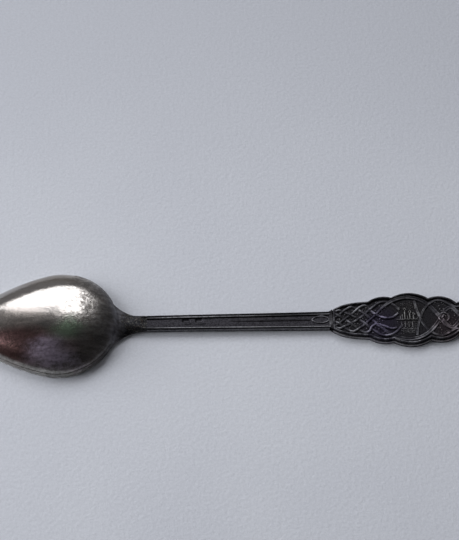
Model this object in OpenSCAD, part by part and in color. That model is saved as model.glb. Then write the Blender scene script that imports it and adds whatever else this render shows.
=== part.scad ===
// Souvenir teaspoon lying face down: the bowl's hollow opens downwards and the handle runs along +X.
// The origin is on the supporting surface, at the middle of the spoon's length and width.

/* [Overall] */
// Overall length from the bowl's tip to the finial's point
spoon_len = 140; // [136:1:150]
// Height of the neck's underside above the supporting surface
neck_lift = 0.4; // [0.2:0.1:1.2]

/* [Bowl] */
// Radius of the bowl's round back, in plan
bowl_r = 15.2; // [14.6:0.1:15.8]
// Distance from the centre of the round back to the bowl's tip
bowl_reach = 26.1; // [25.5:0.1:28]
// Radius of the bowl's tip, in plan
tip_r = 5; // [4:0.1:6.5]
// Radius of the long side curves between the round back and the tip
side_r = 54; // [46:1:80]
// Height of the bowl's back above its rim
bowl_depth = 7.4; // [6:0.1:9]
// Shape of the bowl's cross-section: 2 is half an ellipse, more has steeper sides and a flatter back
bowl_round = 2.2; // [2:0.1:2.6]
// Wall of the bowl, which is also the width of its rim
bowl_wall = 1.2; // [1:0.1:1.5]
// Height of the upright edge round the rim
rim_edge = 0.5; // [0.3:0.1:0.8]

/* [Neck and stem] */
// Radius of the hollow curves that lead from the bowl into the stem, in plan
neck_r = 11.5; // [9:0.5:12]
// Length of the neck piece between the bowl and the stem
neck_len = 4.5; // [4.3:0.1:6]
// Width of the stem at the neck
stem_w_neck = 4.2; // [3.6:0.1:4.6]
// Width of the stem where it meets the finial
stem_w_end = 5; // [4.6:0.1:5.4]
// Thickness of the stem at the neck
stem_t_neck = 1.7; // [1.5:0.1:2.1]
// Thickness of the stem where it meets the finial
stem_t_end = 2; // [1.85:0.05:2.05]
// Width of the raised rails along the stem's edges
rail_w = 0.45; // [0.35:0.05:0.6]
// Height of the stem's rails above the channel between them
rail_h = 0.35; // [0.25:0.05:0.45]

/* [Finial] */
// Thickness of the finial over its borders
finial_t = 2; // [2:0.05:2.2]
// Height of the borders above the plate, on each face
border_h = 0.45; // [0.35:0.05:0.5]
// Width of the borders
border_w = 0.7; // [0.5:0.05:0.8]
// Width of the strands of the knotwork
strand_w = 0.55; // [0.45:0.05:0.65]
// Height of the knotwork above the plate
strand_h = 0.3; // [0.2:0.05:0.35]

/* [Hidden] */
$fn = 96;

// Places along the spoon
finial_len = 42.4;
neck_root = 3.3;
tip_x = -spoon_len / 2;
end_x = spoon_len / 2;
bowl_x = tip_x + bowl_reach;
bowl_end_x = bowl_x + bowl_r + neck_root;
stem_x0 = bowl_end_x + neck_len;
stem_x1 = end_x - finial_len;
collar_t = 0.5;
// Height of shapes that only trim others, taller than the whole spoon
tall = 20;

// Finial: the round lobes and the medallion, as distances back from the point
inner_lobe_x = end_x - 28;
inner_lobe_r = 6.9;
medal_x = end_x - 21.25;
medal_r = 9;
medal_sink = 1.1;
outer_lobe_x = end_x - 13.4;
outer_lobe_r = 6.75;
end_lobe_x = end_x - 6.1;
end_lobe_r = 5.3;
point_r = 2.8;
taper_half = 5.6;
taper_rate = 3.3;
plate_t = finial_t - 2 * border_h;
plate_top = finial_t - border_h;

// Bowl surface: rings from the top of the dome to the rim, and spokes round it
rings = 10;
spokes = 64;
spoke_crowding = 0.75;
rim_rise = neck_lift / (bowl_end_x - tip_x);
// The neck's influence on the dome starts at this share of a spoke and fades out at this angle
neck_start = 0.35;
neck_fan = 34;
// How late along a spoke the plan widens into the root of the neck
neck_flare = 6;

function mix(a, b, k) = a + (b - a) * k;
function clamp01(v) = min(1, max(0, v));
function ease(v) = let (c = clamp01(v)) c * c * (3 - 2 * c);

// Centre of the long side curve, inside both the round back and the tip
side_gap = bowl_reach - tip_r;
side_cx = (pow(side_r - tip_r, 2) - pow(side_r - bowl_r, 2) - side_gap * side_gap) / (2 * side_gap);
side_cy = -sqrt(pow(side_r - bowl_r, 2) - side_cx * side_cx);
// Spoke angles at which the side curve begins and ends
side_a0 = atan2(-side_cy, -side_cx);
side_end = [-side_gap, 0] + tip_r * [-side_gap - side_cx, -side_cy] / (side_r - tip_r);
side_a1 = atan2(side_end[1], side_end[0]);
// Centre of the neck's hollow curve, outside the round back
neck_cy = stem_w_neck / 2 + neck_r;
neck_cx = sqrt(pow(bowl_r + neck_r, 2) - neck_cy * neck_cy);
neck_a = atan2(neck_cy, neck_cx);

// Distance from the origin to the far side of a circle, along a spoke
function far_side(a, cx, cy, r) =
    let (p = cx * cos(a) + cy * sin(a)) p + sqrt(p * p - cx * cx - cy * cy + r * r);
// Distance from the origin to the near side of a circle, or a large value where it is missed
function near_side(a, cx, cy, r) =
    let (p = cx * cos(a) + cy * sin(a), q = p * p - cx * cx - cy * cy + r * r)
    q < 0 ? 1e3 : p - sqrt(q);
// The plain oval of the bowl, for a spoke angle of 0 (neck) to 180 (tip)
function oval(a) =
    a < side_a0 ? bowl_r
    : a < side_a1 ? far_side(a, side_cx, side_cy, side_r)
    : far_side(a, -side_gap, 0, tip_r);
// The oval with the root of the neck added
function rooted(a) =
    a < neck_a ? min(near_side(a, neck_cx, neck_cy, neck_r), (bowl_end_x - bowl_x) / cos(a)) : oval(a);
// Height of the dome over its rim, 1 at the middle and 0 at the rim
function dome(t) = pow(1 - pow(t, bowl_round), 1 / bowl_round);
// Share of a spoke's length at ring j, closer together towards the rim
function ring_share(j) = sin(90 * j / rings);
function neck_share(a, t) = (1 - ease(a / neck_fan)) * ease((t - neck_start) / (1 - neck_start));
function spoke_angle(i) =
    let (s = i / spokes) 360 * s - 90 * spoke_crowding * sin(720 * s) / PI;
// Level of the rim's plane, which is lowest at the tip
function rim_z(x) = (x - tip_x) * rim_rise;

function outer_point(i, j) =
    let (a = spoke_angle(i), f = abs(a > 180 ? a - 360 : a), t = ring_share(j),
         r = t * mix(oval(f), rooted(f), pow(t, neck_flare)),
         x = bowl_x + r * cos(a),
         root = stem_t_neck + (bowl_depth - stem_t_neck) * (1 + cos(180 * t)) / 2)
    [x, r * sin(a), rim_z(x) + mix(mix(rim_edge, bowl_depth, dome(t)), root, neck_share(f, t))];
function inner_point(i, j) =
    let (a = spoke_angle(i), f = abs(a > 180 ? a - 360 : a), t = ring_share(j),
         r = t * (oval(f) - bowl_wall), x = bowl_x + r * cos(a))
    [x, r * sin(a), rim_z(x) + (bowl_depth - bowl_wall) * dome(t)];

// Ring k of the shell: down the outside, across the rim and back up the inside
function shell_point(i, k) =
    k <= rings ? outer_point(i, k)
    : k > rings + 1 ? inner_point(i, 2 * rings + 2 - k)
    : let (p = outer_point(i, rings)) [p[0], p[1], rim_z(p[0])];

// Half the stem's width at x
function stem_half(x) = mix(stem_w_neck, stem_w_end, (x - stem_x0) / (stem_x1 - stem_x0)) / 2;
// Level of the stem's underside and thickness of the stem at x
function stem_under(x) = neck_lift * (1 - ease((x - stem_x0) / (stem_x1 - stem_x0)));
function stem_t(x) = mix(stem_t_neck, stem_t_end, clamp01((x - stem_x0) / (stem_x1 - stem_x0)));
function stem_top(x) = stem_under(x) + stem_t(x);
function stem_station(k, n) = mix(stem_x0, stem_x1, k / n);

// Outline of the stem in plan, narrowed by inset on both sides and overrunning its ends by over
module stem_plan(inset, over = 0) {
    polygon([[stem_x0 - over, -stem_half(stem_x0) + inset], [stem_x1 + over, -stem_half(stem_x1) + inset],
             [stem_x1 + over, stem_half(stem_x1) - inset], [stem_x0 - over, stem_half(stem_x0) - inset]]);
}

// Slab that follows the stem's side view, between two levels measured from its underside and its top
module stem_slab(from_under, from_top, x_list) {
    rotate([90, 0, 0])
        linear_extrude(height = 2 * stem_w_end, center = true)
            polygon(concat([for (x = x_list) [x, from_under(x)]],
                           [for (k = [len(x_list) - 1 : -1 : 0]) [x_list[k], from_top(x_list[k])]]));
}

stem_steps = 12;
stem_xs = [for (k = [0 : stem_steps]) stem_station(k, stem_steps)];

module bowl() {
    last = 2 * rings + 1;
    top = rim_z(bowl_x) + bowl_depth;
    points = concat([[bowl_x, 0, top]],
                    [for (k = [1 : last]) for (i = [0 : spokes - 1]) shell_point(i, k)],
                    [[bowl_x, 0, top - bowl_wall]]);
    function at(i, k) = 1 + (k - 1) * spokes + i % spokes;
    faces = concat(
        [for (i = [0 : spokes - 1]) [0, at(i + 1, 1), at(i, 1)]],
        [for (k = [1 : last - 1]) for (i = [0 : spokes - 1])
            [at(i, k), at(i + 1, k), at(i + 1, k + 1), at(i, k + 1)]],
        [for (i = [0 : spokes - 1]) [at(i, last), at(i + 1, last), len(points) - 1]]);
    color("darkgray") polyhedron(points, faces);
}

// Half the neck's width at x: the hollow curve, then straight into the stem
function neck_half(x) =
    let (d = bowl_x + neck_cx - x) d < 0 ? stem_w_neck / 2 : neck_cy - sqrt(neck_r * neck_r - d * d);

module neck() {
    steps = 8;
    xs = [for (k = [0 : steps]) mix(bowl_end_x, stem_x0, k / steps)];
    color("dimgray") translate([0, 0, neck_lift]) linear_extrude(height = stem_t_neck)
        polygon(concat([for (x = xs) [x, -neck_half(x)]],
                       [for (k = [steps : -1 : 0]) [xs[k], neck_half(xs[k])]]));
}

// Bar of the stem between its two pairs of rails, with two struck marks on its back
module stem_core() {
    mark_x = stem_x0 + 9.3;
    mark_pitch = 3.4;
    mark_size = [2.2, 1.3];
    mark_depth = 0.15;
    color("dimgray") difference() {
        intersection() {
            stem_slab(function(x) stem_under(x) + rail_h, function(x) stem_top(x) - rail_h, stem_xs);
            linear_extrude(height = tall) stem_plan(0);
        }
        for (k = [0, 1]) {
            mark = mark_x + k * mark_pitch;
            translate([mark, -mark_size[1] / 2, stem_top(mark) - rail_h - mark_depth])
                cube([mark_size[0], mark_size[1], 1]);
        }
    }
}

// Two strips along the stem's edges, between two levels
module stem_rails(from_under, from_top) {
    intersection() {
        stem_slab(from_under, from_top, stem_xs);
        linear_extrude(height = tall) difference() {
            stem_plan(0);
            stem_plan(rail_w, 1);
        }
    }
}

module stem_back_rails() {
    color("gray") stem_rails(function(x) stem_top(x) - rail_h, function(x) stem_top(x));
}

module stem_front_rails() {
    color("gray") stem_rails(function(x) stem_under(x), function(x) stem_under(x) + rail_h);
}

// Low rib along the middle of the channel, from beyond the marks to the almond loop
module stem_back_ridge() {
    ridge_x0 = stem_x0 + 17.6;
    ridge_w = 0.5;
    ridge_h = 0.15;
    color("gray") intersection() {
        stem_slab(function(x) stem_top(x) - rail_h, function(x) stem_top(x) - rail_h + ridge_h, stem_xs);
        translate([ridge_x0, -ridge_w / 2, 0]) cube([almond_x0 - ridge_x0, ridge_w, tall]);
    }
}

// Pointed loop at the end of the ridge
almond_len = 4.6;
almond_gap = 0.2;
almond_x1 = stem_x1 - almond_gap;
almond_x0 = almond_x1 - almond_len;
almond_half = 1.15;
almond_w = 0.5;
almond_drop = 0.1;

module almond_plan(inset) {
    mid = (almond_x0 + almond_x1) / 2;
    chord = (almond_x1 - almond_x0) / 2;
    r = (chord * chord + almond_half * almond_half) / (2 * almond_half);
    intersection() {
        translate([mid, almond_half - r]) circle(r - inset);
        translate([mid, r - almond_half]) circle(r - inset);
    }
}

module almond_loop() {
    color("gray") intersection() {
        stem_slab(function(x) stem_top(x) - rail_h, function(x) stem_top(x) - almond_drop, stem_xs);
        linear_extrude(height = tall) difference() {
            almond_plan(0);
            almond_plan(almond_w);
        }
    }
}

// Half the width of the finial's root and tapered panel, which open out from the stem
function taper_half_at(x) = mix(stem_w_end / 2, taper_half, 1 - exp((stem_x1 - x) / taper_rate));

// Solid root of the finial, between the stem and the tapered panel
module collar() {
    steps = 3;
    xs = [for (k = [0 : steps]) stem_x1 + collar_t * k / steps];
    color("gray") linear_extrude(height = finial_t)
        polygon(concat([for (x = xs) [x, -taper_half_at(x)]],
                       [for (k = [steps : -1 : 0]) [xs[k], taper_half_at(xs[k])]]));
}

taper_overlap = 3;
taper_x1 = inner_lobe_x - taper_overlap;

module taper_plan(inset) {
    steps = 12;
    xs = [for (k = [0 : steps]) mix(stem_x1 + collar_t + inset, taper_x1, pow(k / steps, 1.5))];
    polygon(concat([for (x = xs) [x, -taper_half_at(x) + inset]],
                   [for (k = [steps : -1 : 0]) [xs[k], taper_half_at(xs[k]) - inset]]));
}

module medal_plan(inset) {
    intersection() {
        translate([medal_x, medal_sink]) circle(medal_r - inset);
        translate([medal_x, -medal_sink]) circle(medal_r - inset);
    }
}

// Scalloped outline of the finial, drawn in by inset all round
module finial_plan(inset) {
    taper_plan(inset);
    translate([inner_lobe_x, 0]) circle(inner_lobe_r - inset);
    medal_plan(inset);
    translate([outer_lobe_x, 0]) circle(outer_lobe_r - inset);
    translate([end_lobe_x, 0]) circle(end_lobe_r - inset);
    translate([end_x - point_r, 0]) circle(point_r - inset);
}

// Slab of the given thickness on a plan shape, on the back of the plate
module on_back(h, level = 0) {
    translate([0, 0, plate_top + level]) linear_extrude(height = h) children();
}

// The same on the front, which faces down
module on_front(h, level = 0) {
    translate([0, 0, border_h - level - h]) linear_extrude(height = h) children();
}

module finial_plate() {
    color("dimgray") translate([0, 0, border_h]) linear_extrude(height = plate_t) finial_plan(0);
}

module border_plan() {
    difference() {
        finial_plan(0);
        finial_plan(border_w);
    }
}

module back_border() {
    color("gray") on_back(border_h) border_plan();
}

module front_border() {
    color("gray") on_front(border_h) border_plan();
}

// Parallel strands that lean by the given angle and fill the tapered panel
module plait_plan(lean) {
    pitch = 2.2;
    span = 16;
    gap = 0.15;
    first = -2;
    strands = 8;
    intersection() {
        difference() {
            taper_plan(border_w + gap);
            translate([inner_lobe_x, 0]) circle(inner_lobe_r - border_w);
        }
        union() for (k = [0 : strands - 1])
            translate([stem_x1 + first + k * pitch, 0]) rotate(lean) square([span, strand_w], center = true);
    }
}

plait_lean = 42;

module back_plait_lower() {
    color("gray") on_back(strand_h / 2) plait_plan(plait_lean);
}

module back_plait_upper() {
    color("gray") on_back(strand_h / 2, strand_h / 2) plait_plan(-plait_lean);
}

module front_plait() {
    color("gray") on_front(strand_h / 2) plait_plan(plait_lean);
}

ring_gap = 0.25;
ring_w = strand_w + 0.2;
medal_inset = border_w + 0.6;

// Knot ring inside a round lobe, stopping short of the medallion
module lobe_ring_plan(lobe_x, lobe_r) {
    difference() {
        translate([lobe_x, 0]) circle(lobe_r - border_w - ring_gap);
        translate([lobe_x, 0]) circle(lobe_r - border_w - ring_gap - ring_w);
        medal_plan(medal_inset - ring_gap);
    }
}

module inner_lobe_ring() {
    color("gray") on_back(strand_h) lobe_ring_plan(inner_lobe_x, inner_lobe_r);
}

module outer_lobe_ring() {
    color("gray") on_back(strand_h) lobe_ring_plan(outer_lobe_x, outer_lobe_r);
}

module front_lobe_rings() {
    color("gray") on_front(strand_h) {
        lobe_ring_plan(inner_lobe_x, inner_lobe_r);
        lobe_ring_plan(outer_lobe_x, outer_lobe_r);
    }
}

module end_ring() {
    ring_shift = 0.9;
    ring_x = end_lobe_x + ring_shift;
    ring_r = 2.8;
    color("gray") on_back(strand_h) difference() {
        translate([ring_x, 0]) circle(ring_r);
        translate([ring_x, 0]) circle(ring_r - strand_w);
    }
}

module medallion_frame() {
    extra_h = 0.1;
    color("gray") on_back(strand_h + extra_h) difference() {
        medal_plan(medal_inset);
        medal_plan(medal_inset + strand_w);
    }
}

// Plain skyline: a ground line with a row of towers under pitched roofs, upright towards +Y
module medallion_scene() {
    ground_y = -0.6;
    ripple_y = -2.1;
    line_w = 0.4;
    tower_w = 0.9;
    roof_h = 1.1;
    tower_pitch = 1.7;
    heights = [1.6, 2.6, 3.6, 2.6, 1.6];
    ground_len = 10;
    ripple_len = [7.6, 6, 4.4];
    ripple_pitch = 1.2;
    scene_h = strand_h - 0.05;
    color("gray") on_back(scene_h) {
        translate([medal_x - ground_len / 2, ground_y - line_w]) square([ground_len, line_w]);
        for (k = [0 : len(heights) - 1])
            translate([medal_x + (k - 2) * tower_pitch - tower_w / 2, ground_y])
                polygon([[0, 0], [tower_w, 0], [tower_w, heights[k]], [tower_w / 2, heights[k] + roof_h],
                         [0, heights[k]]]);
        for (k = [0 : len(ripple_len) - 1])
            translate([medal_x - ripple_len[k] / 2, ripple_y - ripple_pitch * k])
                square([ripple_len[k], line_w]);
    }
}

// Plain oval on the front, level with the border, which the spoon rests on
module front_cartouche() {
    color("gray") on_front(border_h) medal_plan(medal_inset);
}

bowl();
neck();
stem_core();
stem_back_rails();
stem_back_ridge();
stem_front_rails();
almond_loop();
collar();
finial_plate();
back_border();
back_plait_lower();
back_plait_upper();
inner_lobe_ring();
medallion_frame();
medallion_scene();
outer_lobe_ring();
end_ring();
front_border();
front_cartouche();
front_lobe_rings();
front_plait();
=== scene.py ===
import math
import random

import bmesh
import bpy
import numpy as np
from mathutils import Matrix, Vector


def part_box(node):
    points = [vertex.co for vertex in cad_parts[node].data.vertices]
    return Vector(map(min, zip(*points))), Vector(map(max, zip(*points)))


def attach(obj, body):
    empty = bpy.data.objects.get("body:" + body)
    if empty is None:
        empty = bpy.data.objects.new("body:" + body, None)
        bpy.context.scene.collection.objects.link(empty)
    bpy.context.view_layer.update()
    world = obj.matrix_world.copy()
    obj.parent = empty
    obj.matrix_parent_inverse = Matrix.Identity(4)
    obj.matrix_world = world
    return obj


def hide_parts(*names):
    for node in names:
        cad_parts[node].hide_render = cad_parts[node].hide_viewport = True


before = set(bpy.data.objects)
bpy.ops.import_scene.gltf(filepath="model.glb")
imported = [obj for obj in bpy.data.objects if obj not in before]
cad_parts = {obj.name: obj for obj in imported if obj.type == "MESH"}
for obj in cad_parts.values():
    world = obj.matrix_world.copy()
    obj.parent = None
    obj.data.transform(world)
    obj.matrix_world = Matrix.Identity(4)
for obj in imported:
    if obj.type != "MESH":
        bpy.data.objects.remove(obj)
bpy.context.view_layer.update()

# Everything below is in millimetres until a mesh is made, in the CAD frame: the spoon lies face down,
# +X runs along the handle, +Z is up from the table and +Y points away from the camera, to the window.
MM = 0.001


def node_box(name):
    low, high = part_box(name)
    return low / MM, high / MM


# ---------------------------------------------------------------- dimensions
bowl_low, bowl_high = node_box("bowl")
stem_low, stem_high = node_box("stem_core")
plate_low, plate_high = node_box("finial_plate")
border_high = node_box("back_border")[1]

TIP_X = bowl_low.x
BOWL_END_X = bowl_high.x
BOWL_R = bowl_high.y
NECK_GAP = 3.3
BOWL_X = BOWL_END_X - BOWL_R - NECK_GAP
BOWL_REACH = BOWL_X - TIP_X
BOWL_DEPTH = 7.4
BOWL_ROUND = 2.2
BOWL_WALL = 1.2
RIM_EDGE = 0.5
TIP_R = 5.0
SIDE_R = 54.0
NECK_R = 11.5

STEM_X0 = stem_low.x
STEM_X1 = stem_high.x
STEM_W_NECK = 4.2
STEM_W_END = 2 * stem_high.y
STEM_T_NECK = 1.7
STEM_T_END = 2.0
NECK_LIFT = node_box("neck")[0].z
RAIL_W = 0.45
RAIL_H = 0.35

END_X = plate_high.x
PLATE_LOW = plate_low.z
PLATE_TOP = plate_high.z
FINIAL_T = border_high.z


# ---------------------------------------------------------------- small maths
def mix(a, b, k):
    return a + (b - a) * k


def clamp(v, low=0.0, high=1.0):
    return min(high, max(low, v))


def ease(v):
    c = clamp(v)
    return c * c * (3 - 2 * c)


def bump_at(v, centre, half, soft):
    """1 within half of centre, falling to 0 over soft on both sides."""
    return 1 - ease((abs(v - centre) - half) / soft)


def smooth_max(a, b, k):
    if k <= 0:
        return max(a, b)
    h = clamp(0.5 + 0.5 * (a - b) / k)
    return mix(b, a, h) + k * h * (1 - h)


# ---------------------------------------------------------------- mesh making
class Builder:
    """Collects points and faces of one piece."""

    def __init__(self):
        self.points = []
        self.faces = []

    def band(self, a, b, count):
        """Faces between the ring of points that starts at a and the one that starts at b."""
        for i in range(count):
            j = (i + 1) % count
            self.faces.append((a + i, a + j, b + j, b + i))

    def loft(self, rings, caps=True):
        """Skin over rings of equal length, each joined end to start, with caps at both ends."""
        count = len(rings[0])
        base = len(self.points)
        for ring in rings:
            self.points.extend(ring)
        for k in range(len(rings) - 1):
            self.band(base + k * count, base + (k + 1) * count, count)
        if caps:
            top = base + (len(rings) - 1) * count
            self.faces.append(tuple(base + i for i in reversed(range(count))))
            self.faces.append(tuple(top + i for i in range(count)))

    def torus(self, rings):
        """Skin over a closed loop of closed rings."""
        count = len(rings[0])
        base = len(self.points)
        for ring in rings:
            self.points.extend(ring)
        for k in range(len(rings)):
            self.band(base + k * count, base + (k + 1) % len(rings) * count, count)

    def dome(self, x, y, z, radius, height, around=8, up=3):
        """Small bead standing on level z."""
        rings = []
        for k in range(up):
            lean = math.radians(90) * k / up
            ring_r = radius * math.cos(lean)
            level = z + height * math.sin(lean)
            rings.append([(px, py, level) for px, py in ellipse(x, y, ring_r, ring_r, around)])
        self.loft(rings)

    def piece(self, name, nodes, slot, material, sharp=40.0):
        """Makes the mesh piece, riding on the spoon's body, and takes the place of the CAD nodes."""
        mesh = bpy.data.meshes.new(name)
        mesh.from_pydata([tuple(c * MM for c in p) for p in self.points], [], self.faces)
        mesh.validate()
        skin = bmesh.new()
        skin.from_mesh(mesh)
        bmesh.ops.recalc_face_normals(skin, faces=skin.faces)
        skin.to_mesh(mesh)
        skin.free()
        mesh.shade_smooth()
        mesh.set_sharp_from_angle(angle=math.radians(sharp))
        mesh.materials.append(material)
        piece = bpy.data.objects.new(name, mesh)
        bpy.context.scene.collection.objects.link(piece)
        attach(piece, "root")
        if nodes:
            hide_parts(*nodes)


# ---------------------------------------------------------------- bowl and neck
SIDE_GAP = BOWL_REACH - TIP_R
SIDE_CX = ((SIDE_R - TIP_R) ** 2 - (SIDE_R - BOWL_R) ** 2 - SIDE_GAP ** 2) / (2 * SIDE_GAP)
SIDE_CY = -math.sqrt((SIDE_R - BOWL_R) ** 2 - SIDE_CX ** 2)
SIDE_A0 = math.atan2(-SIDE_CY, -SIDE_CX)
TIP_A = math.atan2(-TIP_R * SIDE_CY / (SIDE_R - TIP_R),
                   -SIDE_GAP - TIP_R * (SIDE_GAP + SIDE_CX) / (SIDE_R - TIP_R))
NECK_CY = STEM_W_NECK / 2 + NECK_R
NECK_CX = math.sqrt((BOWL_R + NECK_R) ** 2 - NECK_CY ** 2)
NECK_A = math.atan2(NECK_CY, NECK_CX)
RIM_RISE = NECK_LIFT / (BOWL_END_X - TIP_X)
# the ridge that runs from the neck into the dome, and how softly the two merge
RIDGE_FROM = 2.0
RIDGE_RUN = 9.0
RIDGE_HALF = 7.5
RIDGE_RISE = 1.1
RIDGE_RISE_RUN = 8.0
RIDGE_POWER = 0.8
MERGE_FROM = 4.0
MERGE = 4.6
MERGE_RUN = 3.6
MERGE_HEIGHT = 2.0
RIM_ROUND = 0.22
RIM_LIFT = 0.06
EDGE_MIN = 0.15


def far_side(a, cx, cy, r):
    p = cx * math.cos(a) + cy * math.sin(a)
    return p + math.sqrt(p * p - cx * cx - cy * cy + r * r)


def near_side(a, cx, cy, r):
    p = cx * math.cos(a) + cy * math.sin(a)
    q = p * p - cx * cx - cy * cy + r * r
    return 1e3 if q < 0 else p - math.sqrt(q)


def oval(a):
    """Distance from the bowl's centre to its oval, for a spoke at a from the neck's direction."""
    if a < SIDE_A0:
        return BOWL_R
    if a < TIP_A:
        return far_side(a, SIDE_CX, SIDE_CY, SIDE_R)
    return far_side(a, -SIDE_GAP, 0, TIP_R)


def rooted(a):
    """The oval with the root of the neck added."""
    if a >= NECK_A:
        return oval(a)
    return min(near_side(a, NECK_CX, NECK_CY, NECK_R), (BOWL_END_X - BOWL_X) / math.cos(a))


def cap(t):
    """Height of the dome, 1 in the middle and 0 at the rim."""
    return (1 - min(t, 1.0) ** BOWL_ROUND) ** (1 / BOWL_ROUND)


def rim_z(x):
    return (x - TIP_X) * RIM_RISE


def neck_half(x):
    """Half the width of the neck at x, through the hollow curve and into the stem."""
    d = BOWL_X + NECK_CX - x
    if d < 0:
        return STEM_W_NECK / 2
    return NECK_CY - math.sqrt(max(0.0, NECK_R ** 2 - min(d, NECK_R * 0.999) ** 2))


def root_width(x):
    """Half the width over which the neck's ridge spreads as it runs into the dome."""
    return min(neck_half(x), RIDGE_HALF)


def ridge_z(x):
    """Height of the neck's ridge over the rim: it climbs from the neck and sinks away inside the dome."""
    crest = STEM_T_NECK + RIDGE_RISE * ease((BOWL_END_X - x) / RIDGE_RISE_RUN)
    return mix(RIM_EDGE, crest, ease((x - BOWL_X - RIDGE_FROM) / RIDGE_RUN))


def back_z(x, y):
    """Height of the bowl's back at a place in plan."""
    dx = x - BOWL_X
    r = math.hypot(dx, y)
    t = r / oval(math.atan2(abs(y), dx)) if r > 0 else 0.0
    dome_z = mix(RIM_EDGE, BOWL_DEPTH, cap(t))
    if dx < MERGE_FROM:
        return rim_z(x) + dome_z
    s = min(1.0, abs(y) / root_width(x))
    neck_z = mix(RIM_EDGE, ridge_z(x), (1 - s * s) ** RIDGE_POWER)
    above = clamp((max(dome_z, neck_z) - RIM_EDGE) / MERGE_HEIGHT)
    blend = MERGE * above * ease(0.2 + (BOWL_END_X - x) / MERGE_RUN)
    return rim_z(x) + smooth_max(dome_z, neck_z, blend)


def spokes(count, crowding=0.72):
    """Spoke angles, closer together at the tip and at the neck."""
    turns = [i / count for i in range(count)]
    return [2 * math.pi * s - crowding * math.sin(4 * math.pi * s) / 2 for s in turns]


def build_bowl(material):
    count, outer, inner = 224, 44, 30
    neck_cut = math.atan2(neck_half(BOWL_END_X), BOWL_END_X - BOWL_X)
    angles = spokes(count)
    builder = Builder()

    def plan(a, reach):
        return BOWL_X + reach * math.cos(a), reach * math.sin(a)

    def fold(a):
        a = math.fmod(a, 2 * math.pi)
        return abs(a if a < math.pi else a - 2 * math.pi)

    def full(f, t=1.0):
        return mix(oval(f), rooted(f), t ** 6)

    def soft(f):
        """Radius that rounds the rim off, none where the neck joins on."""
        return RIM_ROUND * ease((f - neck_cut) / 0.1)

    def back_point(a, t):
        f = fold(a)
        x, y = plan(a, t * full(f, t) - soft(f) * t ** 8)
        return x, y, back_z(x, y)

    def rounded_point(a, lean):
        f = fold(a)
        x, y = plan(a, full(f) - soft(f) * (1 - math.sin(lean)))
        edge = back_z(*plan(a, full(f) - soft(f)))
        return x, y, max(edge - soft(f) * (1 - math.cos(lean)), rim_z(x) + EDGE_MIN)

    def foot_point(a, outline, inset, level):
        x, y = plan(a, outline(fold(a)) - inset)
        return x, y, rim_z(plan(a, outline(fold(a)))[0]) + level

    def hollow_point(a, t):
        x, y = plan(a, t * (oval(fold(a)) - BOWL_WALL))
        return x, y, rim_z(x) + RIM_LIFT + (BOWL_DEPTH - BOWL_WALL - RIM_LIFT) * cap(t)

    rings = []
    for k in range(1, outer + 1):
        t = math.sin(math.pi / 2 * k / outer)
        rings.append([back_point(a, t) for a in angles])
    # the rim: round off the upright edge above and below, then cross to the hollow
    for lean in (30, 60, 90):
        rings.append([rounded_point(a, math.radians(lean)) for a in angles])
    for inset, level in ((0.0, 0.12), (0.03, 0.04), (0.12, 0.0)):
        rings.append([foot_point(a, full, inset, level) for a in angles])
    for inset, level in ((BOWL_WALL - 0.1, 0.0), (BOWL_WALL, RIM_LIFT)):
        rings.append([foot_point(a, oval, inset, level) for a in angles])
    for k in range(inner - 1, 0, -1):
        t = math.sin(math.pi / 2 * k / inner)
        rings.append([hollow_point(a, t) for a in angles])
    builder.loft(rings, caps=False)
    for ring_at, centre in ((0, back_z(BOWL_X, 0)),
                            (len(rings) - 1, rim_z(BOWL_X) + BOWL_DEPTH - BOWL_WALL)):
        hub = len(builder.points)
        builder.points.append((BOWL_X, 0, centre))
        base = ring_at * count
        for i in range(count):
            builder.faces.append((base + i, base + (i + 1) % count, hub))
    builder.piece("bowl_shell", ["bowl"], "bowl_metal", material, sharp=60)


def stem_half(x):
    return mix(STEM_W_NECK, STEM_W_END, (x - STEM_X0) / (STEM_X1 - STEM_X0)) / 2


def stem_under(x):
    return NECK_LIFT * (1 - ease((x - STEM_X0) / (STEM_X1 - STEM_X0)))


def stem_top(x):
    return stem_under(x) + mix(STEM_T_NECK, STEM_T_END, clamp((x - STEM_X0) / (STEM_X1 - STEM_X0)))


def build_neck(material):
    """The neck: an arched section at the bowl that turns into the stem's upright sides and channel."""
    stations, across = 26, 24
    sunk = 0.04
    rings = []
    for k in range(-1, stations + 1):
        share = max(k, 0) / stations
        x = mix(BOWL_END_X, STEM_X0 + 0.02, share) if k >= 0 else BOWL_END_X - 0.3
        half = neck_half(max(x, BOWL_END_X)) - (sunk if k < 0 else 0)
        low = NECK_LIFT - (sunk if k < 0 else 0)
        top = low + STEM_T_NECK
        boxy = ease(share)
        edge = low + mix(RIM_EDGE, STEM_T_NECK - 0.35, boxy)
        channel = RAIL_H * ease((share - 0.45) / 0.55)
        ring = []
        for i in range(across + 1):
            s = 2 * i / across - 1
            s = math.copysign(abs(s) ** 0.7, s)
            power = mix(2.0, 7.0, boxy)
            crown = (1 - abs(s) ** power) ** mix(0.8, 0.5, boxy)
            dip = channel * (1 - ease((abs(s) * half - half + RAIL_W + 0.25) / 0.25))
            ring.append((x, s * half, mix(edge, top, crown) - dip))
        ring += [(x, half, low + 0.25), (x, half - 0.08, low + 0.05), (x, half - 0.25, low),
                 (x, 0.25 - half, low), (x, 0.08 - half, low + 0.05), (x, -half, low + 0.25)]
        rings.append(ring)
    builder = Builder()
    builder.loft(rings)
    builder.piece("neck_root", ["neck"], "bowl_metal", material, sharp=60)


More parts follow.
